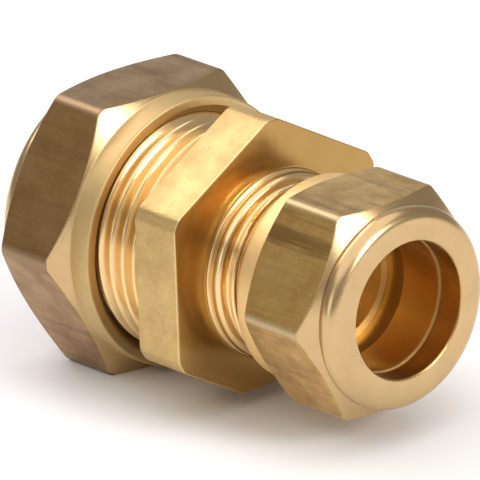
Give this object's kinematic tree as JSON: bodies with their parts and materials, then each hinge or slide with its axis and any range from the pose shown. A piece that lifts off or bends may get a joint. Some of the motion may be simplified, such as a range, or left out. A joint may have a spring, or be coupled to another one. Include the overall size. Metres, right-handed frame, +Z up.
{
  "type": "reducing compression coupling",
  "caption": "Brass reducing compression coupling: hexagonal body with a threaded spigot on each side, each with its nut and sealing olive, joining a larger tube to a smaller one in line.",
  "frame": {"origin": "on the tube axis, in the plane where the end of the large tube stops in the body", "axes": "+X along the tube axis towards the small tube, +Z up through a corner of the body hexagon, with both nuts' flats level"},
  "size_m": [0.0495, 0.0354, 0.0319],
  "materials": {
    "body_brass": "forged and turned, satin",
    "nut_brass": "turned, semi-gloss",
    "olive_brass": "turned, bright"
  },
  "bodies": {
    "coupling_body": {"coupling_body": "body_brass"},
    "large_olive": {"large_olive": "olive_brass"},
    "large_nut": {"large_nut": "nut_brass"},
    "small_olive": {"small_olive": "olive_brass"},
    "small_nut": {"small_nut": "nut_brass"}
  },
  "joints": [
    {"name": "large_travel", "type": "slide", "parent": "coupling_body", "child": "large_olive", "axis": [-1, 0, 0], "range_m": [0, 0.00635]},
    {"name": "large_turn", "type": "hinge", "parent": "large_olive", "child": "large_nut", "pos_m": [-0.006, 0, 0], "axis": [-1, 0, 0], "range_deg": [0, 1260]},
    {"name": "small_travel", "type": "slide", "parent": "coupling_body", "child": "small_olive", "axis": [1, 0, 0], "range_m": [0, 0.00726]},
    {"name": "small_turn", "type": "hinge", "parent": "small_olive", "child": "small_nut", "pos_m": [0.03, 0, 0], "axis": [1, 0, 0], "range_deg": [0, 1440]}
  ],
  "couplings": [
    {"joint": "large_travel", "follows": "large_turn", "m_per_rad": 0.00028871},
    {"joint": "small_travel", "follows": "small_turn", "m_per_rad": 0.00028871}
  ]
}
